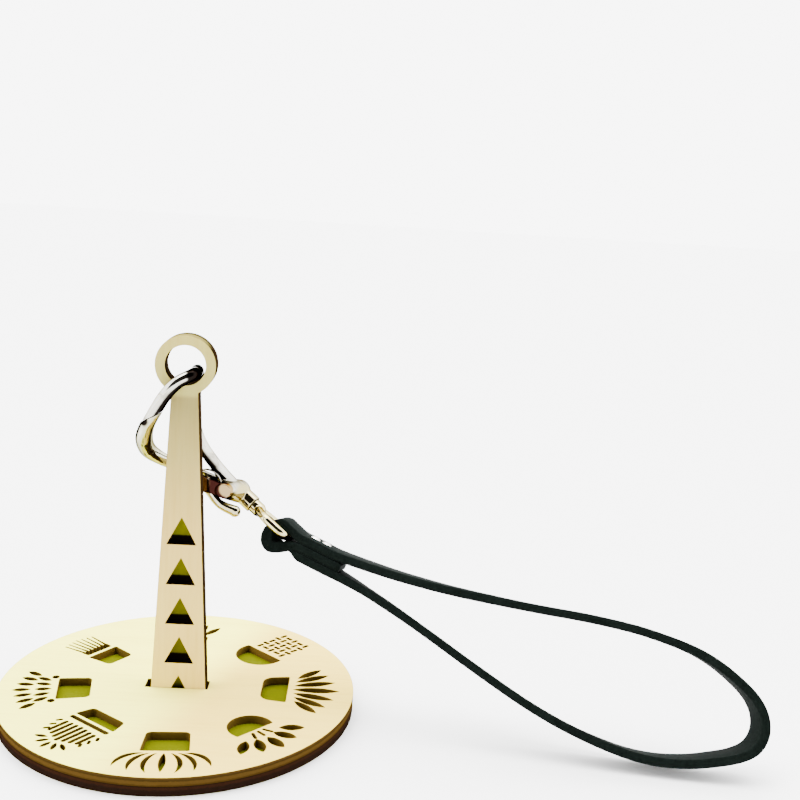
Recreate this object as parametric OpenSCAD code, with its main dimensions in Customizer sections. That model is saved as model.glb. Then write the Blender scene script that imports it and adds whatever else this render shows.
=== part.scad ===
// Wrist yarn holder: a plywood base and post with a ring, and a wrist strap on a swivel snap hook.
// Millimetres, +Z up, origin at the middle of the base's underside.

/* [Base] */
// Diameter of the round base
base_d = 125; // [115:1:145]
// Thickness of each plywood layer
ply_t = 3; // [2.5:0.1:3.5]
// Thickness of the green sheet between the layers
sheet_t = 0.3; // [0.2:0.05:0.5]
// Length of the slot that the post stands in
slot_w = 22.3; // [21:0.1:25]

/* [Post] */
// Width of the post where it leaves the base
post_w = 19.3; // [17:0.1:20]
// Width of the post just under the ring
neck_w = 9.1; // [8:0.1:10]
// Height of the ring's centre above the table
ring_z = 123.2; // [115:0.1:135]
// Outside diameter of the ring
ring_d = 20.5; // [19:0.1:22]
// Diameter of the ring's hole
ring_hole_d = 13.8; // [13:0.1:15]
// Width of the foot under the base's top layer
foot_w = 30; // [27:0.5:36]
// Width of a triangular window
window_w = 10.3; // [8:0.1:11]
// Height of a triangular window
window_h = 9.9; // [8:0.1:11]
// Distance from one window to the next
window_pitch = 14.7; // [13:0.1:16]
// Height of the lowest window's base line
window_z = 1.2; // [1:0.1:3]

/* [Snap hook] */
// Diameter of the hook's wire
hook_d = 4.4; // [3.6:0.1:4.6]
// Diameter of the gate at its bend
gate_d = 6; // [5:0.1:6.2]
// Diameter of the hook's boss
boss_d = 8.6; // [8:0.1:10]
// Diameter of the swivel's collar
collar_d = 6.4; // [5.6:0.1:7]
// Diameter of the gate's pivot pin
pin_d = 2.4; // [1.8:0.1:2.8]
// Diameter of the swivel's stem
stem_d = 3.2; // [2.6:0.1:3.6]
// Diameter of the stem's head inside the boss
head_d = 5; // [4.4:0.1:5.4]
// Thickness of a cheek
cheek_t = 2; // [1.5:0.1:2.4]
// Thickness of the leaf spring
spring_t = 0.4; // [0.3:0.05:0.5]

/* [Strap] */
// Width of the strap
strap_w = 10.5; // [9:0.1:12]
// Thickness of the strap
strap_t = 3; // [2.4:0.1:3]
// Diameter of the eye's wire
eye_d = 3.1; // [2.6:0.1:3.2]
// Diameter of a rivet's cap
cap_d = 3.8; // [3.2:0.1:4.2]
// Height of a rivet's domed cap
cap_h = 0.9; // [0.6:0.1:1.2]
// Diameter of a rivet's post
rivet_d = 2.4; // [1.8:0.1:2.6]
// Thickness of a rivet's flat head
rivet_head_t = 0.5; // [0.4:0.1:0.8]

/* [Fits] */
// Play between the post and its slots, each side
slot_play = 0.1; // [0.05:0.05:0.3]
// Radial clearance of a turning pin or stem
turn_play = 0.05; // [0.03:0.01:0.08]
// Gap between the hook's wire and the wall of the ring's hole
hook_gap = 0.3; // [0.2:0.05:0.5]
// Gap between the hook's tip and the gate's nose
nose_gap = 0.3; // [0.2:0.05:0.5]
// Gap between two layers of the strap
layer_gap = 0.1; // [0.05:0.05:0.2]

/* [Hidden] */
$fn = 48;

ply_c = [0.88, 0.8, 0.66];
green_c = [0.62, 0.68, 0.12];
metal_c = [0.75, 0.75, 0.73];
strap_c = [0.09, 0.12, 0.1];

base_r = base_d / 2;
base_t = 2 * ply_t + sheet_t;
post_t = 2 * ply_t + sheet_t;
ring_r = ring_d / 2;
hole_r = ring_hole_d / 2;
neck_z = ring_z - ring_r + 0.3;
taper = (post_w - neck_w) / (neck_z - base_t) / 2;
tang_w = post_w + 2 * taper * ply_t;
rim = base_r - 62.5;
slot_x = (tang_w - slot_w) / 4;

wire_r = hook_d / 2;
side_y = post_t / 2 + wire_r;
back_y = post_t / 2 + 1.85;
run_r = hole_r - wire_r - hook_gap;
eye_r = eye_d / 2;
eye_half = strap_w / 2 + eye_r + 1.4;
eye_pos = [36, back_y + 5, ring_z - 62.9];
strap_lean = -21.6;
strap_yaw = -9.1;
hook_dip = 36;
boss_back = 25;
boss_r = boss_d / 2;
collar_end = 17.5;
head_t = 2;
head_back = boss_back + 1;
bore_r = stem_d / 2 + turn_play;
pocket_r = head_d / 2 + turn_play;

// The strap hangs from the eye and its lowest point lies on the table
strap_len = 148;
strap_sag = 9.9;
rest_z = strap_w / 2 * sin(-strap_lean) + strap_t / 2 * cos(strap_lean) + 0.1;
strap_dip = asin((eye_pos[2] - rest_z) / cos(strap_lean) / norm([strap_len, strap_sag]))
  - atan(strap_sag / strap_len);

layer = strap_t + layer_gap;
top_q = 2.35;
mid_q = top_q - layer;
low_q = mid_q - layer;
rivet_s = [9.4, 13.9];

function unit(v) = v / norm(v);
function lean_yaw(p) = let(
  y = p[1] * cos(strap_lean) - p[2] * sin(strap_lean),
  z = p[1] * sin(strap_lean) + p[2] * cos(strap_lean))
  [p[0] * cos(strap_yaw) - y * sin(strap_yaw), p[0] * sin(strap_yaw) + y * cos(strap_yaw), z];
hook_axis = lean_yaw([cos(hook_dip), 0, -sin(hook_dip)]);
boss_c = eye_pos - boss_back * hook_axis;

function ringed(x, y, z) = [x, y, ring_z + z];
pivot = ringed(3.6, back_y + 6, -43.6);
cheek_gap = 3.6;
cheek_y = cheek_gap / 2 + cheek_t;
yoke = ringed(12.6, back_y + 6, -46.2);
yoke_r = 2.6;
cheek_r = max(2.9, pin_d / 2 + 1.4);

// Route of the hook's wire, from the boss up behind the post, through the ring and down in front
tip = ringed(-10.2, -side_y - 0.6, -17.4);
bend = ringed(-12.4, -side_y + 1.2, -21.6);
front = ringed(-6.2, -side_y - 1.8, -10.4);
hook_route = [boss_c,
  ringed(13.4, back_y + 10.6, -44.8), ringed(9, back_y + 7.2, -38), ringed(4.8, back_y + 4.6, -31.1),
  ringed(2.3, back_y + 3.5, -24.7), ringed(1.3, back_y + 3.1, -17.2), ringed(1.8, back_y + 3, -10.7),
  ringed(2.8, side_y + 2, -6.4), ringed(0.68 * run_r, side_y - 0.8, -0.7 * run_r),
  ringed(0.7 * run_r, 0, -0.68 * run_r), ringed(0.54 * run_r, -side_y + 0.8, -0.68 * run_r),
  ringed(-2.2, -side_y - 1.6, -5.6), front, tip, bend];
hook_size = [for (i = [0 : len(hook_route) - 1]) i == 0 ? 2.6 : i == 1 ? wire_r + 0.4 : wire_r];

// Route of the gate, from its nose round the left of the post to the pivot and the thumb lug
gate_route = [front, tip, bend, ringed(-13.7, -side_y + 3.9, -26.2), ringed(-13.2, back_y - 2.4, -31),
  ringed(-10, back_y + 1.4, -34.8), ringed(-4.8, back_y + 4.4, -38.1), ringed(-0.6, back_y + 5.9, -40.9),
  pivot, ringed(7, back_y + 6, -47.5), ringed(11, back_y + 6.1, -52.1), ringed(16.4, back_y + 7.2, -55)];
bend_r = gate_d / 2;
gate_size = [wire_r, wire_r, bend_r - 0.45, bend_r, bend_r - 0.1, bend_r - 0.6, 2, 1.7, 1.5, 1.5, 1.6, 2];

// Smooth curve through the points of a route
function curve_at(p, i, t) = let(
  n = len(p) - 1,
  a = i > 0 ? p[i - 1] : 2 * p[0] - p[1],
  b = p[i],
  c = p[i + 1],
  d = i + 2 > n ? 2 * p[n] - p[n - 1] : p[i + 2])
  0.5 * (2 * b + (c - a) * t + (2 * a - 5 * b + 4 * c - d) * t * t
  + (3 * b - a - 3 * c + d) * t * t * t);
function curve(p, m) = [for (i = [0 : len(p) - 2], k = [0 : m - 1]) curve_at(p, i, k / m), p[len(p) - 1]];
function along(p) = [for (i = [0 : len(p) - 1])
  unit(p[min(i + 1, len(p) - 1)] - p[max(i - 1, 0)])];
function across(t) = [for (i = 0, u = unit(cross(t[0], [0.3, 1, 0.2])); i < len(t);
  i = i + 1, u = i < len(t) ? unit(u - (u * t[i]) * t[i]) : u) u];

// Round bar that follows a route and changes thickness on its way
module bar(route, size, m = 4, sides = 14) {
  p = curve(route, m);
  r = [for (i = [0 : len(size) - 2], k = [0 : m - 1])
    size[i] + (size[i + 1] - size[i]) * k / m, size[len(size) - 1]];
  t = along(p);
  u = across(t);
  n = len(p);
  points = [for (i = [0 : n - 1], j = [0 : sides - 1]) let(w = cross(t[i], u[i]), a = 360 * j / sides)
    p[i] + r[i] * (cos(a) * u[i] + sin(a) * w)];
  walls = [for (i = [0 : n - 2], j = [0 : sides - 1], h = [0, 1]) let(
    a = i * sides + j,
    b = i * sides + (j + 1) % sides)
    h == 0 ? [a, a + sides, b + sides] : [a, b + sides, b]];
  ends = [[for (j = [0 : sides - 1]) j], [for (j = [0 : sides - 1]) n * sides - 1 - j]];
  polyhedron(points = points, faces = concat(walls, ends));
}

// Frames of the clasp and of the strap: X away from the hook, Y along the eye's bar
module at_clasp() {
  translate(eye_pos) rotate([strap_lean, 0, strap_yaw]) rotate([0, hook_dip, 0]) children();
}
module at_strap() {
  translate(eye_pos) rotate([strap_lean, 0, strap_yaw]) rotate([0, strap_dip, 0]) children();
}
module along_x(x, h, r) {
  translate([x, 0, 0]) rotate([0, 90, 0]) cylinder(h = h, r = r);
}
module along_y(c, y, h, r) {
  translate([c[0], c[1] + y, c[2]]) rotate([-90, 0, 0]) cylinder(h = h, r = r);
}

// Cut-outs of the base's top layer; X points to the rim, Y to the left of it
module leaf(x, y, turn, l, w) {
  r = (l * l + w * w) / (4 * w);
  translate([x, y]) rotate(turn) translate([l / 2, 0]) intersection() {
    translate([0, r - w / 2]) circle(r, $fn = 120);
    translate([0, w / 2 - r]) circle(r, $fn = 120);
  }
}
module slit(x, y, turn, l, w) {
  translate([x, y]) rotate(turn) {
    translate([w / 2, -w / 2]) square([l - w, w]);
    translate([w / 2, 0]) circle(w / 2, $fn = 20);
    translate([l - w / 2, 0]) circle(w / 2, $fn = 20);
  }
}
module dash(x, y, turn, l, w) {
  translate([x, y]) rotate(turn) slit(-l / 2, 0, 0, l, w);
}

// Leaf bent to one side, between two arcs that meet at its ends
module blade(x, y, turn, l, bow, w, side) {
  outer = (l * l / 4 + (bow + w) * (bow + w)) / (2 * (bow + w));
  inner = (l * l / 4 + bow * bow) / (2 * bow);
  translate([x, y]) rotate(turn) difference() {
    intersection() {
      translate([l / 2, side * (bow + w - outer)]) circle(outer, $fn = 160);
      translate([-1, side > 0 ? 0.02 : -l]) square([l + 2, l - 0.02]);
    }
    translate([l / 2, side * (bow - inner)]) circle(inner, $fn = 160);
  }
}

// Points of a corner at b, rounded to the radius r
function corner(a, b, c, r) = let(
  u = unit(a - b),
  v = unit(c - b),
  half = acos(u * v) / 2,
  m = b + unit(u + v) * r / sin(half),
  p = unit(b + u * r / tan(half) - m),
  q = unit(b + v * r / tan(half) - m))
  [for (k = [0 : 6]) m + r * unit(p * (6 - k) + q * k)];
module pot(x0, x1, half_in, half_out, r = 1.8) {
  a = [x0, -half_in];
  b = [x1, -half_out];
  c = [x1, half_out];
  d = [x0, half_in];
  polygon(concat(corner(d, a, b, r), corner(a, b, c, 0.6), corner(b, c, d, 0.6), corner(c, d, a, r)));
}
module round_pot(x0, x1, half) {
  r = ((x1 - x0) * (x1 - x0) + half * half) / (2 * (x1 - x0));
  intersection() {
    translate([x0 + r, 0]) circle(r, $fn = 120);
    translate([x0 - 5, -40]) square([x1 - x0 + 5, 80]);
  }
}
module plant_1() {
  pot(30.5, 40.7, 5.6, 6.6);
  pot(42, 45.2, 5.6, 5.9, 0.6);
  for (i = [-3 : 3]) translate([44.8, i * 1.68]) rotate(i * 2.5)
    polygon([[0, -0.55], [11 - abs(i) * 0.5, -0.25], [11 - abs(i) * 0.5, 0.25], [0, 0.55]]);
}
module plant_2() {
  pot(30.7, 42.1, 7.4, 8);
  for (i = [-2 : 2]) leaf(44 + abs(i) * 0.3, i * 3.1, i * 16, 5.8, 2.4);
  for (i = [-3 : 3]) leaf(51 - abs(i) * 0.9, i * 3.4, i * 13, 6.4, 2.5);
  for (i = [-1, 1]) translate([43.4, i * 9]) circle(1.3, $fn = 28);
}
module plant_3() {
  pot(31.6, 38, 7.8, 9.6);
  slit(40, -9.4, 90, 18.8, 1.8);
  for (i = [-3 : 3]) slit(42.4 + abs(i) * 0.2, i * 2.3, 0, 11.4 - abs(i) * 1.1, 1.6);
  for (i = [-1, 1], k = [0 : 2]) slit(43.4 + k * 3, i * (9 - k * 0.6), i * 35, 2.4, 1.2);
  for (i = [-2 : 2]) leaf(54.9 - abs(i) * 0.6, i * 1.7, i * 32, 4.6, 1.7);
}
module plant_4() {
  pot(34.4, 46.5, 7.1, 7.9);
  leaf(47.8, 0, 0, 11.4, 2.3);
  for (i = [-1, 1], k = [1 : 3]) blade(47.8, i * (k * 2.1), i * (k * 19 - 8), 12, 1.5, 1.7, i);
}
module plant_5() {
  round_pot(32.5, 43, 7.5);
  for (i = [-2 : 2]) leaf(49.2 - abs(i) * 1.2, i * 3.5, i * 25, 8.6, 3.9);
  for (i = [-1 : 1]) slit(44, i * 2.1, i * 22, 4.2, 1.2);
}
module plant_6() {
  pot(29.5, 38.9, 8.4, 10, 4.2);
  for (i = [-3 : 3]) leaf(40.6 + abs(i) * 0.4, i * 2.9, i * 15, 17 - abs(i) * 1.8, 4 - abs(i) * 0.25);
}
module plant_7() {
  round_pot(29, 40.5, 9.2);
  for (i = [-2 : 2], k = [0 : 4]) dash(43.8 + k * 3.1, i * 3.1, (i + k) % 2 == 0 ? 0 : 90, 3.2, 1.5);
}
module plant_8() {
  pot(31, 41, 6, 7.2);
  for (i = [-2 : 2]) leaf(42.2, i * 2.6, i * 19, 12 - abs(i), 2.8);
}
module plants() {
  rotate(144.4) translate([rim, 0]) plant_1();
  rotate(-169.8) translate([rim, 0]) plant_2();
  rotate(-127.3) translate([rim, 0]) plant_3();
  rotate(-86.1) translate([rim, 0]) plant_4();
  rotate(-45.1) translate([rim, 0]) plant_5();
  rotate(-0.4) translate([rim, 0]) plant_6();
  rotate(46.8) translate([rim, 0]) plant_7();
  rotate(94) translate([rim, 0]) plant_8();
}
module slot(w, x = 0) {
  translate([x, 0]) square([w, post_t + 2 * slot_play], center = true);
}

module base_top_plate() {
  color(ply_c) translate([0, 0, ply_t + sheet_t]) linear_extrude(ply_t) difference() {
    circle(base_r, $fn = 180);
    slot(slot_w, slot_x);
    plants();
  }
}
module base_colour_sheet() {
  color(green_c) translate([0, 0, ply_t]) linear_extrude(sheet_t) difference() {
    circle(base_r, $fn = 180);
    slot(slot_w, slot_x);
  }
}
module base_bottom_plate() {
  color(ply_c) linear_extrude(ply_t) difference() {
    circle(base_r, $fn = 180);
    slot(foot_w + 2 * slot_play);
  }
}

// Outline of the post, drawn in X and Z
module post_shape() {
  difference() {
    union() {
      translate([-foot_w / 2, 0]) square([foot_w, ply_t]);
      polygon([[-tang_w / 2, ply_t - 0.5], [tang_w / 2, ply_t - 0.5], [tang_w / 2, ply_t + sheet_t],
        [post_w / 2, base_t], [neck_w / 2, neck_z], [neck_w / 2, neck_z + 1.2],
        [-neck_w / 2, neck_z + 1.2], [-neck_w / 2, neck_z], [-post_w / 2, base_t],
        [-tang_w / 2, ply_t + sheet_t]]);
      translate([0, ring_z]) circle(ring_r, $fn = 96);
    }
    translate([0, ring_z]) circle(hole_r, $fn = 72);
  }
}
module windows() {
  for (i = [0 : 4]) translate([0, window_z + i * window_pitch])
    polygon([[-window_w / 2, 0], [window_w / 2, 0], [0, window_h]]);
}
module panel(y, t) {
  translate([0, y + t, 0]) rotate([90, 0, 0]) linear_extrude(t) children();
}
module post_front_panel() {
  color(ply_c) panel(-sheet_t / 2 - ply_t, ply_t) difference() {
    post_shape();
    windows();
  }
}
module post_colour_sheet() {
  color(green_c) panel(-sheet_t / 2, sheet_t) post_shape();
}
module post_back_panel() {
  color(ply_c) panel(sheet_t / 2, ply_t) difference() {
    post_shape();
    windows();
  }
}

// The joint of the hook's tip and the gate's nose lies along the way that the nose moves
module nose_side(z) {
  translate(tip) rotate([0, -29.2, 0]) translate([-9, -6, z]) cube([18, 12, 9]);
}
module hook_body() {
  color(metal_c) difference() {
    union() {
      difference() {
        bar(hook_route, hook_size);
        nose_side(nose_gap / 2 - 9);
      }
      at_clasp() along_x(-boss_back, boss_back - collar_end, collar_d / 2);
      hull() {
        at_clasp() translate([-boss_back, 0, 0]) rotate([11, 6, 17]) sphere(boss_r, $fn = 32);
        along_y(yoke, -cheek_y - 0.3, 2 * cheek_y + 0.6, yoke_r);
      }
      for (y = [-cheek_y, cheek_gap / 2]) hull() {
        along_y(yoke, y, cheek_t, yoke_r - 0.4);
        along_y(pivot, y, cheek_t, cheek_r);
      }
    }
    along_y(pivot, -cheek_y - 2, 2 * cheek_y + 4, pin_d / 2);
    at_clasp() along_x(-boss_back, boss_back, bore_r);
    at_clasp() along_x(-head_back - 0.1, head_t + 0.2, pocket_r);
  }
}
module hook_gate() {
  color(metal_c) difference() {
    union() {
      bar(gate_route, gate_size);
      along_y(pivot, 0.2 - cheek_gap / 2, cheek_gap - 0.4, cheek_r - 0.2);
      translate(gate_route[11]) sphere(2.1, $fn = 28);
    }
    nose_side(-nose_gap / 2);
    along_y(pivot, -cheek_y, 2 * cheek_y, pin_d / 2 + turn_play);
  }
}
module gate_pivot_pin() {
  color(metal_c) {
    along_y(pivot, -cheek_y - 0.3, 2 * cheek_y + 0.6, pin_d / 2);
    along_y(pivot, -cheek_y - 0.6, 0.6, pin_d / 2 + 0.6);
    along_y(pivot, cheek_y, 0.6, pin_d / 2 + 0.6);
  }
}
module gate_spring() {
  color(metal_c) translate(ringed(6.2, back_y + 6, -44.8)) rotate([90, 0, 0]) rotate(11)
    rotate_extrude(angle = 120, $fn = 72) translate([5.2, 0.2]) square([spring_t, 1.4]);
}
module eye_bar(a, b) {
  d = b - a;
  translate(a) rotate([0, acos(d[2] / norm(d)), atan2(d[1], d[0])]) cylinder(h = norm(d), r = eye_r, $fn = 32);
}
module swivel_eye() {
  color(metal_c) at_clasp() {
    eye_bar([0, -eye_half, 0], [0, eye_half, 0]);
    for (y = [-eye_half, eye_half]) {
      translate([0, y, 0]) sphere(eye_r, $fn = 32);
      eye_bar([0, y, 0], [-9, y, 0]);
      translate([-9, y, 0]) sphere(eye_r, $fn = 32);
      eye_bar([-9, y, 0], [-15.2, sign(y) * 0.8, 0]);
    }
    along_x(-collar_end + 0.2, 3.2, 2.6);
    along_x(-head_back, head_back - collar_end + 1, stem_d / 2);
    along_x(-head_back, head_t, head_d / 2);
  }
}

// Middle line of the strap: from the returned end, round the eye's bar, round the wrist and back
strap_route = [[22.8, mid_q], [15, mid_q], [8.5, mid_q], [5.6, mid_q], [3.6, mid_q - 0.65], [1.8, -3],
  [-0.6, -4.7], [-2.8, -5.4], [-5.1, -4], [-6.1, -1], [-5.1, 2.1], [-2.8, 3.4], [0, 3.3], [3.4, 2.75],
  [5.6, top_q], [7.2, top_q], [16, top_q], [17.5, top_q], [22.5, 2.75], [33, 4.1], [44, 5.8], [60, 9],
  [76, 13], [91.5, 17.2],
  [106.5, 21.6], [121.5, 25.3], [132, 27], [142, 27.9], [150, 27.5], [158, 25.8], [165.9, 22.9],
  [171, 18.9], [173.6, 13.5], [173.1, 7.8], [169.5, 3], [163.3, -1.7], [156.6, -5.9], [148, -9.9],
  [138.5, -12.6], [128, -14], [116, -14.5], [104, -14], [92, -12.7], [76, -10.4], [60, -7.9],
  [45, -5.8], [33, -4.5], [23, low_q], [18, low_q], [16.5, low_q], [6, low_q]];
module strap_shape() {
  p = curve(strap_route, 3);
  t = along(p);
  polygon(concat(
    [for (i = [0 : len(p) - 1]) p[i] + strap_t / 2 * [-t[i][1], t[i][0]]],
    [for (i = [len(p) - 1 : -1 : 0]) p[i] - strap_t / 2 * [-t[i][1], t[i][0]]]));
}
module strap_band() {
  color(strap_c) at_strap() difference() {
    rotate([90, 0, 0]) linear_extrude(strap_w, center = true) strap_shape();
    for (s = rivet_s) translate([s, 0, low_q - strap_t])
      cylinder(h = top_q - low_q + 2 * strap_t, r = rivet_d / 2 + turn_play, $fn = 32);
  }
}
module rivet_caps() {
  r = (cap_d * cap_d / 4 + cap_h * cap_h) / (2 * cap_h);
  color(metal_c) at_strap() for (s = rivet_s) translate([s, 0, top_q + strap_t / 2]) intersection() {
    translate([0, 0, cap_h - r]) sphere(r, $fn = 40);
    cylinder(h = cap_h + 0.1, r = cap_d / 2 + 0.1, $fn = 32);
  }
}
module rivet_posts() {
  color(metal_c) at_strap() for (s = rivet_s) translate([s, 0, low_q - strap_t / 2 - rivet_head_t]) {
    cylinder(h = top_q - low_q + strap_t + rivet_head_t, r = rivet_d / 2, $fn = 32);
    cylinder(h = rivet_head_t, r = cap_d / 2, $fn = 32);
  }
}

base_top_plate();
base_colour_sheet();
base_bottom_plate();
post_front_panel();
post_colour_sheet();
post_back_panel();
hook_body();
hook_gate();
gate_pivot_pin();
gate_spring();
swivel_eye();
strap_band();
rivet_caps();
rivet_posts();
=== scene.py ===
import math

import bmesh
import bpy
import numpy as np
from mathutils import Matrix, Vector


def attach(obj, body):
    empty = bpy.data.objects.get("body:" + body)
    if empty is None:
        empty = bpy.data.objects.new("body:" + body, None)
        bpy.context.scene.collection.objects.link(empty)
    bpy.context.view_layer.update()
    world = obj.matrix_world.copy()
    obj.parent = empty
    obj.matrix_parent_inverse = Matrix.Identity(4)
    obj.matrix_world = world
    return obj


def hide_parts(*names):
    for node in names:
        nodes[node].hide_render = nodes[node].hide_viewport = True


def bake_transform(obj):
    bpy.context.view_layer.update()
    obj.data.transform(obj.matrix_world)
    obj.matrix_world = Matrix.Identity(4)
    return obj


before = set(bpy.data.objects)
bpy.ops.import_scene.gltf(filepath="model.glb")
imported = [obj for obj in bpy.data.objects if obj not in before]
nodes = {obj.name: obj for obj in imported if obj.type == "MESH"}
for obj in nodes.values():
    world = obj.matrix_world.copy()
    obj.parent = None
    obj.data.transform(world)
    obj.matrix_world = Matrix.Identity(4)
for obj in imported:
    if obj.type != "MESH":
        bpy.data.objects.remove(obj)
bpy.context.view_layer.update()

scene = bpy.context.scene
MM = 0.001

# Sizes that the solids have too, in millimetres

stack_t = 6.3  # two layers of plywood with the green sheet between them
ring_z = 123.2
hole_r = 6.9
wire_r = 2.2
hook_gap = 0.3
eye_r = 1.55
strap_w, strap_t = 10.5, 3.0
turn_play = 0.05
pin_r = 1.2
stem_r, head_r = 1.6, 2.5


# Nodes of a material

def new_material(name):
    mat = bpy.data.materials.new(name)
    mat.use_nodes = True
    return mat, mat.node_tree, mat.node_tree.nodes["Principled BSDF"]


def add(tree, kind, **settings):
    made = tree.nodes.new(kind)
    for key, value in settings.items():
        setattr(made, key, value)
    return made


def feed(tree, socket, value):
    """Set a socket to a number or a colour, or link it to an output."""
    if isinstance(value, (int, float)):
        socket.default_value = value
    elif isinstance(value, tuple):
        socket.default_value = (*value, 1.0)
    else:
        tree.links.new(value, socket)


def calc(tree, operation, *values):
    made = add(tree, "ShaderNodeMath", operation=operation)
    for socket, value in zip(made.inputs, values):
        feed(tree, socket, value)
    return made.outputs[0]


def blended(tree, a, share, b):
    """A share of one value and the rest of another."""
    return calc(tree, "ADD", calc(tree, "MULTIPLY", a, share), calc(tree, "MULTIPLY", b, 1.0 - share))


def mix(tree, factor, a, b, blend="MIX"):
    made = add(tree, "ShaderNodeMix", data_type="RGBA", blend_type=blend)
    for k, value in ((0, factor), (6, a), (7, b)):
        feed(tree, made.inputs[k], value)
    return made.outputs[2]


def map_range(tree, value, start, end, first=0.0, last=1.0, shape="LINEAR"):
    """Map start to end onto first to last, and hold the value beyond them."""
    made = add(tree, "ShaderNodeMapRange", interpolation_type=shape)
    for label, number in (("From Min", start), ("From Max", end), ("To Min", first), ("To Max", last)):
        made.inputs[label].default_value = number
    tree.links.new(value, made.inputs["Value"])
    return made.outputs["Result"]


def ramp(tree, factor, stops):
    made = add(tree, "ShaderNodeValToRGB")
    while len(made.color_ramp.elements) < len(stops):
        made.color_ramp.elements.new(0.5)
    for element, (place, colour) in zip(made.color_ramp.elements, stops):
        element.position = place
        element.color = (*colour, 1.0)
    tree.links.new(factor, made.inputs["Fac"])
    return made.outputs["Color"]


def own(tree, output):
    """The piece's own coordinates or normal."""
    return add(tree, "ShaderNodeTexCoord").outputs[output]


def parts_of(tree, vector):
    made = add(tree, "ShaderNodeSeparateXYZ")
    tree.links.new(vector, made.inputs[0])
    return made.outputs


def against(tree, operation, vector, other):
    """Dot product or distance of a vector and another one, linked or constant."""
    made = add(tree, "ShaderNodeVectorMath", operation=operation)
    tree.links.new(vector, made.inputs[0])
    if isinstance(other, bpy.types.NodeSocket):
        tree.links.new(other, made.inputs[1])
    else:
        made.inputs[1].default_value = other
    return made.outputs["Value"]


def stretched(tree, per_metre):
    """The piece's own coordinates, scaled along each axis."""
    mapping = add(tree, "ShaderNodeMapping")
    mapping.inputs["Scale"].default_value = per_metre
    tree.links.new(own(tree, "Object"), mapping.inputs["Vector"])
    return mapping.outputs["Vector"]


def even(per_metre):
    return (per_metre, per_metre, per_metre)


def noise(tree, per_metre, detail, rough=0.55, distortion=0.0):
    made = add(tree, "ShaderNodeTexNoise")
    for label, value in (("Scale", 1.0), ("Detail", detail), ("Roughness", rough),
                         ("Distortion", distortion)):
        made.inputs[label].default_value = value
    tree.links.new(stretched(tree, per_metre), made.inputs["Vector"])
    return made.outputs["Fac"]


def bump(tree, bsdf, height, strength, distance):
    made = add(tree, "ShaderNodeBump")
    made.inputs["Strength"].default_value = strength
    made.inputs["Distance"].default_value = distance
    tree.links.new(height, made.inputs["Height"])
    tree.links.new(made.outputs["Normal"], bsdf.inputs["Normal"])


# Masks

def cut_edge(tree, face_axis):
    """One on the cut edges of a flat sheet, zero on its two faces."""
    facing = calc(tree, "ABSOLUTE", parts_of(tree, own(tree, "Normal"))[face_axis])
    return calc(tree, "LESS_THAN", facing, 0.6)


def toasted_rim(tree):
    """Mask of a narrow strip along the sharp edges."""
    rounded = add(tree, "ShaderNodeBevel", samples=6)
    rounded.inputs["Radius"].default_value = 0.45 * MM
    flat = add(tree, "ShaderNodeNewGeometry").outputs["True Normal"]
    turned = against(tree, "DOT_PRODUCT", rounded.outputs["Normal"], flat)
    return map_range(tree, turned, 1.0, 0.82, 0.0, 0.55)


def turned_to(tree, way, low, high):
    """Mask of the surfaces that face a way of the piece, from low to high cosine."""
    aim = against(tree, "DOT_PRODUCT", own(tree, "Normal"), Vector(way).normalized())
    return map_range(tree, aim, low, high, shape="SMOOTHSTEP")


def near_to(tree, centre, radius, fade):
    """Mask of the surfaces within a radius of a point, all in millimetres."""
    gap = against(tree, "DISTANCE", own(tree, "Object"), Vector(centre) * MM)
    return map_range(tree, gap, radius * MM, (radius + fade) * MM, 1.0, 0.0, "SMOOTHSTEP")


# Materials

toast = (0.16, 0.085, 0.02)
window_shadow = (0.002, 0.001, 0.0007)
burnt_sheet = (0.006, 0.0025, 0.001)
# Near black for painted shade and painted dark reflections on the metal, and for the seam on the gate's nose
black_shade_and_seam = (0.004, 0.003, 0.0025)
maroon = (0.014, 0.004, 0.003)
brown = (0.070, 0.036, 0.016)
beige = (0.22, 0.155, 0.072)
pale_gold = (0.36, 0.31, 0.16)
dull_gold = (0.34, 0.30, 0.165)


def scaled(colour, factor):
    return tuple(factor * c for c in colour)


def birch_face(tree, tones, painted_shadow):
    """Colour of a plywood face by height, with a painted shadow that grows along a way of the piece."""
    face = tones[0][1]
    if len(tones) > 1:
        top = tones[-1][0]
        share = calc(tree, "DIVIDE", parts_of(tree, own(tree, "Object"))[2], top)
        face = ramp(tree, share, [(height / top, colour) for height, colour in tones])
    if painted_shadow:
        shadow_colour, way, start, end = painted_shadow
        across = against(tree, "DOT_PRODUCT", own(tree, "Object"), way)
        face = mix(tree, map_range(tree, across, start, end, shape="SMOOTHSTEP"), face, shadow_colour)
    return face


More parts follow.
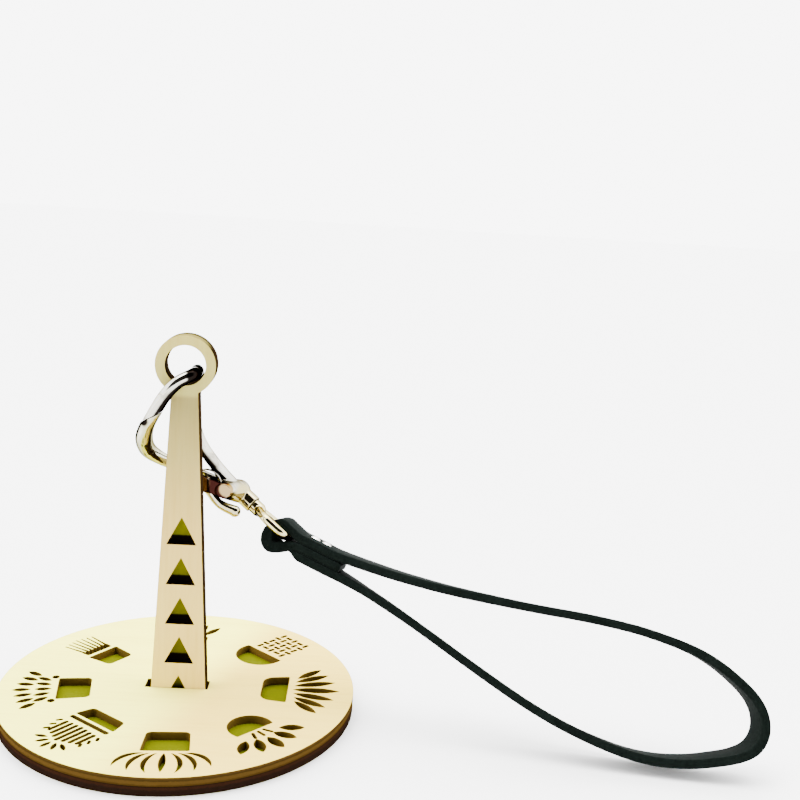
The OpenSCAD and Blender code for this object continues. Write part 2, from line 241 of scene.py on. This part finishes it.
def plywood(name, grain, face_axis, tones, edges, layers, lit_above=None, painted_shadow=None, lit_walls=None):
    """Pale birch with fine grain and toasted rims, and laser-burnt edges with plies.

    tones gives the face's colour at its heights; on the post they hold painted shade that darkens it towards
    its top. edges gives the colours of the two layers, which lie between the two places of layers along the
    face's axis. Above lit_above, the up-facing edges of the front layer are painted paler, as painted light
    from above. warm gives the colour of a painted shadow, the way it grows along, and where it starts and
    ends. walls gives the colour of the cut-outs' sides, painted lighter to stand for light thrown from the
    green sheet, within a radius of the middle.
    """
    mat, tree, bsdf = new_material(name)
    fine = noise(tree, grain, 6.0, 0.6, 0.4)
    wide = noise(tree, scaled(grain, 0.18), 3.0, 0.5, 0.8)
    figure = ramp(tree, blended(tree, fine, 0.55, wide),
                  [(0.34, (0.90, 0.87, 0.80)), (0.52, (0.97, 0.96, 0.93)), (0.70, (1.0, 1.0, 1.0))])
    face = birch_face(tree, tones, painted_shadow)
    wood = mix(tree, toasted_rim(tree), mix(tree, 1.0, figure, face, "MULTIPLY"), toast)

    place = parts_of(tree, own(tree, "Object"))
    streak = calc(tree, "MULTIPLY", calc(tree, "SUBTRACT", noise(tree, even(420.0), 3.0, 0.6), 0.5), 0.2)
    level = calc(tree, "ADD", map_range(tree, place[face_axis], *layers), streak)
    edge_low, edge_high = edges
    burnt = ramp(tree, level, [(0.0, edge_low), (0.30, edge_low), (0.36, edge_high), (0.62, edge_high),
                               (0.68, scaled(edge_high, 0.45)), (1.0, edge_high)])
    # Painted light: the cut-outs' sides near the middle are painted lighter to stand for light thrown from
    # the green sheet
    if lit_walls:
        lit_wall, reach = lit_walls
        burnt = mix(tree, near_to(tree, (0.0, 0.0, 5.0), reach, 0.5), burnt, lit_wall)
    # Painted light: high on the post, the up-facing edges of the front layer are painted paler to stand for
    # light from above
    if lit_above:
        high_up = calc(tree, "GREATER_THAN", place[2], lit_above)
        lit_upward = calc(tree, "MULTIPLY", turned_to(tree, (0.0, 0.0, 1.0), 0.5, 0.95), high_up)
        front_layer = map_range(tree, level, 0.45, 0.6, 0.42, 0.06)
        burnt = mix(tree, calc(tree, "MULTIPLY", lit_upward, front_layer), burnt, face)

    tree.links.new(mix(tree, cut_edge(tree, face_axis), wood, burnt), bsdf.inputs["Base Color"])
    bsdf.inputs["Roughness"].default_value = 0.7
    bsdf.inputs["Specular IOR Level"].default_value = 0.0
    bump(tree, bsdf, fine, 0.12, 0.2 * MM)
    return mat


def sheet_material(name, colour, face_axis, shadow_bands=None):
    """Matte coloured sheet with burnt edges.

    bands gives the first height, the pitch and the depth of a painted shadow at the foot of each window in a
    row; above it, within each window, the sheet is painted lighter upwards.
    """
    mat, tree, bsdf = new_material(name)
    fine = noise(tree, even(900.0), 3.0)
    wide = noise(tree, even(60.0), 2.0)
    green = ramp(tree, blended(tree, fine, 0.4, wide),
                 [(0.35, scaled(colour, 0.86)), (0.65, scaled(colour, 1.08))])
    # Painted shade: black at the foot of each window, and painted light growing upwards above it
    if shadow_bands:
        first, pitch, deep = shadow_bands
        height = parts_of(tree, own(tree, "Object"))[2]
        rise = calc(tree, "FLOORED_MODULO", calc(tree, "SUBTRACT", height, first), pitch)
        lit_upwards = map_range(tree, rise, 2.0 * MM, 9.5 * MM, 0.6, 1.25)
        shadow_share = map_range(tree, rise, deep, deep + 0.5 * MM, 1.0, 0.0, "SMOOTHSTEP")
        green = mix(tree, shadow_share, mix(tree, 1.0, green, lit_upwards, "MULTIPLY"), window_shadow)
    tree.links.new(mix(tree, cut_edge(tree, face_axis), green, burnt_sheet), bsdf.inputs["Base Color"])
    bsdf.inputs["Roughness"].default_value = 0.6
    bsdf.inputs["Specular IOR Level"].default_value = 0.0
    bump(tree, bsdf, fine, 0.08, 0.1 * MM)
    return mat


def nickel_material(name, colour, dark, rough, under=None, left=None, stains_and_shade=()):
    """Polished plating with dull clouds and worn spots.

    under gives painted shade where the metal is turned down, left gives the cosines between which a painted
    black reflection covers it where it is turned to the left, and stains are colours round a point with a
    radius and a fade; some of them are painted shade.
    """
    mat, tree, bsdf = new_material(name)
    clouds = noise(tree, even(150.0), 4.0, 0.6, 0.6)
    bright = tuple(min(1.0, c) for c in scaled(colour, 1.25))
    tone = ramp(tree, clouds, [(0.36, dark), (0.50, colour), (0.75, bright)])
    # Painted shade where the metal is turned down, and a painted dark reflection where it is turned to the
    # left
    if under:
        tone = mix(tree, turned_to(tree, (0.2, 0.1, -0.97), 0.02, 0.22), tone, under)
    if left:
        tone = mix(tree, turned_to(tree, (-1.0, 0.0, 0.0), *left), tone, black_shade_and_seam)
    for tint, centre, radius, fade in stains_and_shade:
        tone = mix(tree, near_to(tree, centre, radius, fade), tone, tint)
    tree.links.new(tone, bsdf.inputs["Base Color"])
    bsdf.inputs["Metallic"].default_value = 1.0
    bsdf.inputs["Specular Tint"].default_value = (0.12, 0.11, 0.10, 1.0)
    wear = map_range(tree, noise(tree, even(500.0), 4.0, 0.6), 0.0, 1.0, 0.6 * rough, 1.6 * rough)
    tree.links.new(wear, bsdf.inputs["Roughness"])
    bump(tree, bsdf, noise(tree, even(90.0), 2.0), 0.06, 0.4 * MM)
    return mat


def leather_material(name):
    """Near-black leather with fine pores and slightly uneven dye."""
    mat, tree, bsdf = new_material(name)
    pores = add(tree, "ShaderNodeTexVoronoi")
    pores.inputs["Scale"].default_value = 1.0
    tree.links.new(stretched(tree, even(1500.0)), pores.inputs["Vector"])
    patch = noise(tree, even(120.0), 5.0, 0.6)
    speck = noise(tree, even(1100.0), 3.0, 0.6)
    colour = ramp(tree, blended(tree, patch, 0.4, speck),
                  [(0.35, (0.0018, 0.0028, 0.0023)), (0.65, (0.0042, 0.0064, 0.0054))])
    tree.links.new(colour, bsdf.inputs["Base Color"])
    tree.links.new(map_range(tree, patch, 0.0, 1.0, 0.6, 0.8), bsdf.inputs["Roughness"])
    bsdf.inputs["Specular IOR Level"].default_value = 0.004
    bump(tree, bsdf, pores.outputs["Distance"], 0.18, 0.12 * MM)
    return mat


disc_grain, post_grain = (60.0, 900.0, 60.0), (900.0, 60.0, 45.0)
top_edge_start = 2.6 * MM  # the tones of the top plate's edge start just below it
base_ply = plywood("base_plywood", disc_grain, 2, [(0.0, (0.86, 0.80, 0.17))],
                   [(0.009, 0.0045, 0.0028), (0.015, 0.006, 0.003)], (0.0, stack_t * MM))
top_ply = plywood("top_plywood", disc_grain, 2, [(0.0, (0.95, 0.92, 0.155))],
                  [(0.030, 0.016, 0.003), (0.046, 0.025, 0.0055)], (top_edge_start, stack_t * MM),
                  # Painted shadow: the top plate's face darkens towards its right front, where the post's
                  # shade falls
                  painted_shadow=((0.76, 0.56, 0.105), (0.9, -0.3, 0.0), -4 * MM, 18 * MM),
                  lit_walls=((0.10, 0.062, 0.010), 61.0))
# Painted shade: the post's face grows darker towards its top, and the ring is lighter again
post_shaded_tones = [(0.0, (0.82, 0.63, 0.175)), (65 * MM, (0.54, 0.39, 0.115)), (90 * MM, (0.35, 0.28, 0.092)),
              (109 * MM, (0.235, 0.195, 0.068)), (111.9 * MM, (0.235, 0.195, 0.068)),
              (113.3 * MM, (0.365, 0.325, 0.098)), (134 * MM, (0.385, 0.325, 0.092))]
post_ply = plywood("post_plywood", post_grain, 1, post_shaded_tones,
                   [(0.004, 0.0018, 0.0008), (0.016, 0.008, 0.0025)],
                   (-stack_t / 2 * MM, stack_t / 2 * MM), lit_above=125 * MM)
base_green = sheet_material("base_green", (0.078, 0.086, 0.0003), 2)
# The post's sheet carries a painted shadow at the foot of each window and is painted lighter upwards within
# it
post_green = sheet_material("post_green", (0.11, 0.11, 0.001), 1, (1.2 * MM, 14.7 * MM, 2.3 * MM))
# Colour patches of the hook: on the front cheek and at its two ends, on the boss, and painted shade in two
# places in the ring, where the hook passes through it
nickel = nickel_material("nickel", (0.40, 0.385, 0.33), (0.26, 0.245, 0.20), 0.08,
                         black_shade_and_seam, (0.84, 0.95),
                         [(maroon, (9.8, 7.2, 77.2), 4.2, 1.0),
                          (brown, (4.0, 7.2, 79.6), 3.2, 1.0),
                          (beige, (13.9, 7.0, 77.7), 2.2, 0.9),
                          (pale_gold, (20.0, 13.0, 72.5), 4.5, 3.0),
                          (black_shade_and_seam, (4.6, -5.0, 120.2), 3.8, 1.2),
                          (black_shade_and_seam, (3.5, 3.0, 119.5), 5.5, 2.0)])
# Stains of the gate: on its thumb lug and on its nose
nickel_gate = nickel_material("nickel_gate", (0.40, 0.385, 0.29), (0.27, 0.25, 0.17), 0.08,
                              (0.33, 0.32, 0.21), (0.62, 0.80),
                              [(dull_gold, (16.0, 12.0, 68.2), 4.5, 4.0),
                               (black_shade_and_seam, (-13.0, -7.0, 104.3), 1.4, 0.9)])
nickel_eye = nickel_material("nickel_eye", (0.44, 0.385, 0.19), (0.24, 0.19, 0.09), 0.08,
                             black_shade_and_seam, (0.84, 0.95))
nickel_dull = nickel_material("nickel_dull", (0.22, 0.21, 0.18), (0.14, 0.125, 0.10), 0.2)
nickel_cap = nickel_material("nickel_cap", (0.86, 0.84, 0.80), (0.6, 0.58, 0.55), 0.12)
leather = leather_material("strap_leather")

for name, slot, mat in (("base_top_plate", "plywood", top_ply), ("base_bottom_plate", "plywood", base_ply),
                        ("base_colour_sheet", "green_sheet", base_green),
                        ("post_front_panel", "plywood", post_ply), ("post_back_panel", "plywood", post_ply),
                        ("post_colour_sheet", "green_sheet", post_green),
                        ("gate_pivot_pin", "nickel", nickel_dull),
                        ("rivet_caps", "nickel", nickel_cap), ("rivet_posts", "nickel", nickel_dull)):
    piece = nodes[name]
    piece.data.materials.clear()
    piece.data.materials.append(mat)
    for polygon in piece.data.polygons:
        polygon.material_index = 0


# Shapes, as vertices and faces in millimetres

def curve(points, m):
    """Smooth curve through the points, with m steps between each two."""
    p = [np.array(q, float) for q in points]
    out = []
    for i in range(len(p) - 1):
        a = p[i - 1] if i > 0 else 2 * p[0] - p[1]
        b, c = p[i], p[i + 1]
        d = p[i + 2] if i + 2 < len(p) else 2 * p[-1] - p[-2]
        for k in range(m):
            t = k / m
            out.append(0.5 * (2 * b + (c - a) * t + (2 * a - 5 * b + 4 * c - d) * t * t
                              + (3 * b - a - 3 * c + d) * t ** 3))
    out.append(p[-1])
    return np.array(out)


def along(p):
    """Unit tangents of a row of points."""
    t = np.empty_like(p)
    t[1:-1] = p[2:] - p[:-2]
    t[0], t[-1] = p[1] - p[0], p[-1] - p[-2]
    return t / np.linalg.norm(t, axis=1)[:, None]


def skin(rows, n):
    """Faces round rows of n points each, with both ends closed."""
    faces = [(i * n + j, i * n + (j + 1) % n, (i + 1) * n + (j + 1) % n, (i + 1) * n + j)
             for i in range(rows - 1) for j in range(n)]
    return faces + [tuple(range(n - 1, -1, -1)), tuple((rows - 1) * n + j for j in range(n))]


def circle(centre, u, w, radius, sides):
    turns = [2 * math.pi * j / sides for j in range(sides)]
    return [centre + radius * (math.cos(a) * u + math.sin(a) * w) for a in turns]


def tube(points, sizes, m=8, sides=24):
    """Round bar through the points, with a radius for each of them."""
    p = curve(points, m)
    r = np.interp(np.arange(len(p)) / m, np.arange(len(sizes)), sizes)
    t = along(p)
    u = np.cross(t[0], [0.3, 1.0, 0.2])
    u /= np.linalg.norm(u)
    verts = []
    for i in range(len(p)):
        u = u - (u @ t[i]) * t[i]
        u /= np.linalg.norm(u)
        verts += circle(p[i], u, np.cross(t[i], u), r[i], sides)
    return verts, skin(len(p), sides)


def cylinder(start, axis, length, radius, sides=40):
    """Cylinder from a point along an axis."""
    axis = np.array(axis, float) / np.linalg.norm(axis)
    u = np.cross(axis, [0.31, 0.27, 0.9])
    u /= np.linalg.norm(u)
    w = np.cross(axis, u)
    verts = [v for k in (0.0, length) for v in circle(np.array(start) + axis * k, u, w, radius, sides)]
    return verts, skin(2, sides)


def ball(centre, radius, rings=20, sides=32):
    verts, faces = [np.array(centre) + [0, 0, radius]], []
    for i in range(1, rings):
        a = math.pi * i / rings
        for j in range(sides):
            b = 2 * math.pi * j / sides
            verts.append(np.array(centre) + radius * np.array(
                [math.sin(a) * math.cos(b), math.sin(a) * math.sin(b), math.cos(a)]))
    verts.append(np.array(centre) - [0, 0, radius])
    last = len(verts) - 1
    for j in range(sides):
        k = (j + 1) % sides
        faces.append((0, 1 + j, 1 + k))
        for i in range(rings - 2):
            a = 1 + i * sides
            faces.append((a + j, a + sides + j, a + sides + k, a + k))
        a = 1 + (rings - 2) * sides
        faces.append((last, a + k, a + j))
    return verts, faces


def hull_of(*shapes):
    """Convex hull of the shapes."""
    bm = bmesh.new()
    for verts, _ in shapes:
        for v in verts:
            bm.verts.new(tuple(v))
    bmesh.ops.convex_hull(bm, input=bm.verts)
    loose = [v for v in bm.verts if not v.link_faces]
    bmesh.ops.delete(bm, geom=loose, context="VERTS")
    bm.verts.index_update()
    verts = [np.array(v.co) for v in bm.verts]
    faces = [tuple(v.index for v in f.verts) for f in bm.faces]
    bm.free()
    return verts, faces


# Pieces made of shapes

def mesh_object(name, verts, faces):
    """Smooth-shaded object of one shape, with its faces turned outwards."""
    mesh = bpy.data.meshes.new(name)
    mesh.from_pydata([tuple(np.array(v) * MM) for v in verts], [], faces)
    mesh.update()
    bm = bmesh.new()
    bm.from_mesh(mesh)
    bmesh.ops.recalc_face_normals(bm, faces=bm.faces)
    bm.to_mesh(mesh)
    bm.free()
    mesh.shade_smooth()
    obj = bpy.data.objects.new(name, mesh)
    scene.collection.objects.link(obj)
    return obj


def settle(obj):
    """Apply the object's modifiers to its mesh."""
    graph = bpy.context.evaluated_depsgraph_get()
    mesh = bpy.data.meshes.new_from_object(obj.evaluated_get(graph))
    obj.modifiers.clear()
    old = obj.data
    obj.data = mesh
    bpy.data.meshes.remove(old)


def cast(name, shapes, cuts, voxel, relax_steps):
    """Shapes run together into one smooth casting, then cut by other shapes."""
    verts, faces = [], []
    for v, f in shapes:
        start = len(verts)
        verts += v
        faces += [tuple(i + start for i in g) for g in f]
    obj = mesh_object(name, verts, faces)
    remesh = obj.modifiers.new("remesh", "REMESH")
    remesh.mode = "VOXEL"
    remesh.voxel_size = voxel * MM
    relax = obj.modifiers.new("relax", "SMOOTH")
    relax.factor = 0.5
    relax.iterations = relax_steps
    settle(obj)
    for k, shape in enumerate(cuts):
        tool = mesh_object(f"{name}_cut_{k}", *shape)
        boolean = obj.modifiers.new("cut", "BOOLEAN")
        boolean.operation = "DIFFERENCE"
        boolean.solver = "EXACT"
        boolean.object = tool
        settle(obj)
        bpy.data.objects.remove(tool)
    obj.data.shade_smooth()
    return obj


def finish_piece(obj, body, mat, node):
    """Give a piece its material and body, and hide the node that it stands for."""
    obj.data.materials.clear()
    obj.data.materials.append(mat)
    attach(obj, body)
    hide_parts(node)


# Frames of the clasp and the strap, in millimetres

side_y = stack_t / 2 + wire_r
back_y = stack_t / 2 + 1.85
lean, yaw, hook_dip = math.radians(-21.6), math.radians(-9.1), math.radians(36)
strap_low = (148, 9.9)
eye = np.array([36.0, back_y + 5, ring_z - 62.9])
turn = np.array(Matrix.Rotation(yaw, 3, "Z") @ Matrix.Rotation(lean, 3, "X"))
rest_z = strap_w / 2 * math.sin(-lean) + strap_t / 2 * math.cos(lean) + 0.1
strap_dip = (math.asin((eye[2] - rest_z) / math.cos(lean) / math.hypot(*strap_low))
             - math.atan2(strap_low[1], strap_low[0]))
clasp_turn = turn @ np.array(Matrix.Rotation(hook_dip, 3, "Y"))
strap_turn = turn @ np.array(Matrix.Rotation(strap_dip, 3, "Y"))
Y = np.array([0.0, 1.0, 0.0])


def at_clasp(x, y, z):
    """Point in the frame of the clasp, which starts at the eye's bar and runs along its stem."""
    return eye + clasp_turn @ np.array([x, y, z])


def on_stem(start, length, radius):
    return cylinder(at_clasp(start, 0, 0), clasp_turn[:, 0], length, radius)


def on_pin(centre, start, length, radius):
    return cylinder(centre + Y * start, Y, length, radius)


def ringed(x, y, z):
    """Point with its height counted from the ring's centre."""
    return np.array([x, y, ring_z + z])


# Snap hook

boss_back, boss_r = 25, 4.3
collar_r, collar_len = 3.2, 7.5
head_back, head_len = 26, 2.0
yoke_r, cheek_r = 2.6, 2.9
cheek_t, cheek_gap = 2, 3.6
cheek_y = cheek_gap / 2 + cheek_t
run_r = hole_r - wire_r - hook_gap
cast_voxel, cast_relax = 0.2, 3

boss = at_clasp(-boss_back, 0, 0)
pivot = ringed(3.6, back_y + 6, -43.6)
yoke = ringed(12.6, back_y + 6, -46.2)
tip = ringed(-10.2, -side_y - 0.6, -17.4)
bend = ringed(-12.4, -side_y + 1.2, -21.6)
front = ringed(-6.2, -side_y - 1.8, -10.4)
hook_route = [boss, ringed(13.4, back_y + 10.6, -44.8), ringed(9, back_y + 7.2, -38),
              ringed(4.8, back_y + 4.6, -31.1), ringed(2.3, back_y + 3.5, -24.7),
              ringed(1.3, back_y + 3.1, -17.2), ringed(1.8, back_y + 3, -10.7), ringed(2.8, side_y + 2, -6.4),
              ringed(0.68 * run_r, side_y - 0.8, -0.7 * run_r), ringed(0.7 * run_r, 0, -0.68 * run_r),
              ringed(0.54 * run_r, -side_y + 0.8, -0.68 * run_r), ringed(-2.2, -side_y - 1.6, -5.6),
              front, tip, bend]
hook_size = [2.6, 2.6] + [wire_r] * (len(hook_route) - 2)
joint_slope = math.radians(29.2)
joint_gap = 0.15
block_run, block_wide, block_high = 9, 6, 9


def beside_joint(low, high):
    """Block at the slanted joint of the hook's tip and the gate's nose, between two heights."""
    run = np.array([math.cos(joint_slope), 0, math.sin(joint_slope)])
    rise = np.array([-run[2], 0, run[0]])
    verts = [tip + run * (a * block_run) + Y * (b * block_wide) + rise * c
             for c in (low, high) for a, b in ((-1, -1), (1, -1), (1, 1), (-1, 1))]
    return verts, [(3, 2, 1, 0), (4, 5, 6, 7), (0, 1, 5, 4), (1, 2, 6, 5), (2, 3, 7, 6), (3, 0, 4, 7)]


hook = cast("hook_body_cast", [
    tube(hook_route, hook_size),
    hull_of(ball(boss, boss_r), on_pin(yoke, -cheek_y - 0.3, 2 * cheek_y + 0.6, yoke_r)),
    *(hull_of(on_pin(yoke, y, cheek_t, yoke_r - 0.4), on_pin(pivot, y, cheek_t, cheek_r))
      for y in (-cheek_y, cheek_gap / 2)),
    on_stem(-boss_back, collar_len, collar_r),
], [
    beside_joint(-block_high, joint_gap),
    on_pin(pivot, -6, 12, pin_r),
    on_stem(-boss_back, 12, stem_r + turn_play),
    on_stem(-head_back - 0.1, head_len + 0.2, head_r + turn_play),
], cast_voxel, cast_relax)
finish_piece(hook, "hook", nickel, "hook_body")

gate_route = [front, tip, bend, ringed(-13.7, -side_y + 3.9, -26.2), ringed(-13.2, back_y - 2.4, -31),
              ringed(-10, back_y + 1.4, -34.8), ringed(-4.8, back_y + 4.4, -38.1),
              ringed(-0.6, back_y + 5.9, -40.9), pivot, ringed(7, back_y + 6, -47.5),
              ringed(11, back_y + 6.1, -52.1), ringed(16.4, back_y + 7.2, -55)]
gate_size = [wire_r, wire_r, 2.55, 3.0, 2.9, 2.4, 2.0, 1.7, 1.5, 1.5, 1.6, 2.0]
lug_end_r = 2.1
gate = cast("hook_gate_cast", [
    tube(gate_route, gate_size),
    on_pin(pivot, 0.2 - cheek_gap / 2, cheek_gap - 0.4, cheek_r - 0.2),
    ball(gate_route[-1], lug_end_r),
], [
    beside_joint(-joint_gap, block_high),
    on_pin(pivot, -4, 8, pin_r + turn_play),
], cast_voxel, cast_relax)
finish_piece(gate, "gate", nickel_gate, "hook_gate")

# Leaf spring of the gate, which bends from the hook to the gate

leaf_centre, leaf_r = ringed(6.2, back_y + 6, -44.8), 5.4
leaf_half_t, leaf_half_w, leaf_bevel = 0.2, 0.7, 0.12
leaf_turns = np.linspace(11, 131, 41)


def on_leaf(angle, out, across):
    """Point of the leaf at an angle of its arc, off the middle of its thickness and of its width."""
    a = math.radians(angle)
    return leaf_centre + (leaf_r + out) * np.array([math.cos(a), 0, math.sin(a)]) + (across - 0.9) * Y


leaf_t, leaf_w = leaf_half_t - leaf_bevel, leaf_half_w - leaf_bevel
leaf_section = [(leaf_half_t, leaf_w), (leaf_t, leaf_half_w), (-leaf_t, leaf_half_w), (-leaf_half_t, leaf_w),
                (-leaf_half_t, -leaf_w), (-leaf_t, -leaf_half_w), (leaf_t, -leaf_half_w),
                (leaf_half_t, -leaf_w)]
leaf = mesh_object("gate_spring_leaf", [on_leaf(a, *q) for a in leaf_turns for q in leaf_section],
                   skin(len(leaf_turns), len(leaf_section)))
leaf.data.set_sharp_from_angle(angle=math.radians(50))
leaf.data.materials.append(nickel_dull)
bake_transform(leaf)
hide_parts("gate_spring")

# Swivel eye

eye_half = strap_w / 2 + eye_r + 1.4
corner_r = 2.6
neck_back, neck_r = 14.6, 2.5
shoulder_back, shoulder_len, shoulder_r = 17.3, 3.2, 2.6
stem_len = 9
eye_voxel, eye_relax = 0.17, 2
eye_corner = [(corner_r * math.cos(a) - corner_r, eye_half - corner_r + corner_r * math.sin(a))
              for a in map(math.radians, (0, 30, 60, 90))]
eye_side = eye_corner + [(-6.0, eye_half), (-8.6, eye_half - 0.35), (-10.6, eye_half - 2.0),
                         (-13.0, eye_half - 4.8), (-15.0, eye_half - 7.2)]
eye_wire = [(x, -y) for x, y in reversed(eye_side)] + [(0.0, -2.5), (0.0, 2.5)] + eye_side
swivel = cast("swivel_eye_cast", [
    tube([at_clasp(x, y, 0) for x, y in eye_wire], [eye_r] * len(eye_wire), m=4),
    ball(at_clasp(-neck_back, 0, 0), neck_r),
    on_stem(-shoulder_back, shoulder_len, shoulder_r),
    on_stem(-boss_back, stem_len, stem_r),
    on_stem(-head_back, head_len, head_r),
], [], eye_voxel, eye_relax)
finish_piece(swivel, "eye", nickel_eye, "swivel_eye")

# Strap, whose route lies in its own plane: along it from the eye's bar, and up

strap_edge_r = 0.45
skive_run, skive_drop = 4.8, 0.85
top_q, mid_q, low_q = 2.35, -0.75, -3.85
strap_route = [(22.8, mid_q), (15, mid_q), (8.5, mid_q), (5.6, mid_q), (3.6, mid_q - 0.65), (1.8, -3),
               (-0.6, -4.7), (-2.8, -5.4), (-5.1, -4), (-6.1, -1), (-5.3, 2.7), (-3, 4.3), (0, 3.6),
               (3.4, 2.65), (5.6, top_q), (7.2, top_q), (16, top_q), (17.5, top_q), (22.5, 2.75), (33, 4.1),
               (44, 5.8), (60, 9), (76, 13), (91.5, 17.2), (106.5, 21.6), (121.5, 25.3), (132, 27),
               (142, 27.9), (150, 27.5), (158, 25.8), (165.9, 22.9), (171, 18.9), (173.6, 13.5), (173.1, 7.8),
               (169.5, 3), (163.3, -1.7), (156.6, -5.9), (148, -9.9), (138.5, -12.6), (128, -14),
               (116, -14.5), (104, -14), (92, -12.7), (76, -10.4), (60, -7.9), (45, -5.8), (33, -4.5),
               (23, low_q), (18, low_q), (16.5, low_q), (6, low_q), (3.7, low_q - 0.5)]


def strap_lean_at(place, height, returning):
    """Lean of the strip: how far it moves along and up per millimetre of its width."""
    along_route = np.interp(place, [-2, 3, 110, 165], [0.15, 0.0, 0.0, -0.19])
    if place < 3:
        along_route *= np.interp(height, [0, 2.5], [1.0, 0.0])
    if returning:
        upwards = np.interp(place, [4, 21, 34, 55, 120, 150], [0.16, 0.14, 0.0, -0.06, -0.06, 0.0])
    else:
        upwards = np.interp(place, [4, 20, 45, 90], [0.16, 0.14, 0.09, 0.0])
    return np.array([along_route, upwards])


def strap_section():
    """Section of the strip with softened edges: across, and out to its left along the route."""
    r = strap_edge_r
    w, h = strap_w / 2 - r, strap_t / 2 - r
    section = []
    for x, y, start in ((w, h, 0), (-w, h, 90), (-w, -h, 180), (w, -h, 270)):
        for a in (0, 22.5, 45, 67.5, 90):
            b = math.radians(start + a)
            section.append((x + r * math.cos(b), y + r * math.sin(b)))
    return section


def strap_mesh():
    """The strip along its route, thicker inside the fold and skived to a wedge at its lower end."""
    p = curve(strap_route, 8)
    t = along(p)
    side_of = np.stack([-t[:, 1], t[:, 0]], 1)
    far_end = int(np.argmax(p[:, 0]))
    walked = np.concatenate([[0], np.cumsum(np.linalg.norm(np.diff(p, axis=0), axis=1))])
    section = strap_section()
    verts = []
    for i in range(len(p)):
        lean_here = strap_lean_at(*p[i], i > far_end)
        start_thin = 0.8 + 0.2 * min(1.0, walked[i] / 0.5)
        skived = (1 - min(1.0, (walked[-1] - walked[i]) / skive_run)) ** 2
        padded = np.interp(p[i][0], [2, 4], [0.55, 0.0]) * np.interp(p[i][1], [-1.2, 0.6], [1.0, 0.0])
        for across, out in section:
            reach = start_thin * out * (1 + padded * (out < 0))
            if out > 0:
                reach = (1 - skived) * reach - skive_drop * skived * strap_t / 2
            q = p[i] + reach * side_of[i] + across * lean_here
            verts.append(eye + strap_turn @ np.array([q[0], across, q[1]]))
    return verts, skin(len(p), len(section))


strap = mesh_object("strap_leather_band", *strap_mesh())
strap.data.set_sharp_from_angle(angle=math.radians(50))
finish_piece(strap, "strap", leather, "strap_band")

# Stage

floor_half, floor_z = 4, -0.0001
floor_mesh = bpy.data.meshes.new("floor")
floor_mesh.from_pydata([(x * floor_half, y * floor_half, 0) for x, y in ((-1, -1), (1, -1), (1, 1), (-1, 1))],
                       [], [(0, 1, 2, 3)])
floor = bpy.data.objects.new("floor", floor_mesh)
floor.location.z = floor_z
scene.collection.objects.link(floor)
floor_mat, _, floor_bsdf = new_material("floor_paper")
floor_bsdf.inputs["Base Color"].default_value = (0.97, 0.97, 0.97, 1.0)
floor_bsdf.inputs["Roughness"].default_value = 0.9
floor_mesh.materials.append(floor_mat)

# Camera, fitted to the photograph's frame

image_px, focal_px = 800, 1093.44
sensor_mm = 36
cam_data = bpy.data.cameras.new("camera")
cam_data.sensor_width = sensor_mm
cam_data.lens = focal_px * sensor_mm / image_px
cam_data.clip_start, cam_data.clip_end = 0.01, 20
cam = bpy.data.objects.new("camera", cam_data)
scene.collection.objects.link(cam)
cam_at = (0.05888, -0.36653, 0.18911)
ahead = Vector((0.0371, 0.9794, -0.1986)).normalized()
sideways = Vector((0.99779, -0.0254, 0.06131)).normalized()
up = sideways.cross(ahead).normalized()
right = ahead.cross(up).normalized()
cam_place = Matrix((right, up, -ahead)).transposed().to_4x4()
cam_place.translation = cam_at
cam.matrix_world = cam_place
scene.camera = cam

# Light: a pale dome, brighter overhead, with a dark flag high in front that metal reflects

dome_strength = 20.0
flag_way = Vector((0.15, -0.86, 0.49)).normalized()
flag_colour = (0.0015, 0.0013, 0.0011)


def greys(*stops):
    return [(place, even(level)) for place, level in stops]


world = bpy.data.worlds.new("studio")
scene.world = world
world.use_nodes = True
sky = world.node_tree
aim = against(sky, "DOT_PRODUCT", own(sky, "Generated"), flag_way)
height = parts_of(sky, own(sky, "Generated"))[2]
facing = ramp(sky, aim, greys((0.0, 0.0), (0.50, 0.0), (0.64, 1.0), (1.0, 1.0)))
raised = ramp(sky, height, greys((0.0, 0.0), (0.13, 0.0), (0.20, 1.0), (1.0, 1.0)))
dome = ramp(sky, height, greys((0.0, 0.39), (0.18, 0.39), (0.32, 0.40), (0.80, 0.40), (0.88, 1.0),
                               (1.0, 1.0)))
flag = mix(sky, 1.0, facing, raised, "MULTIPLY")
background = sky.nodes["Background"]
sky.links.new(mix(sky, flag, dome, flag_colour), background.inputs["Color"])
background.inputs["Strength"].default_value = dome_strength
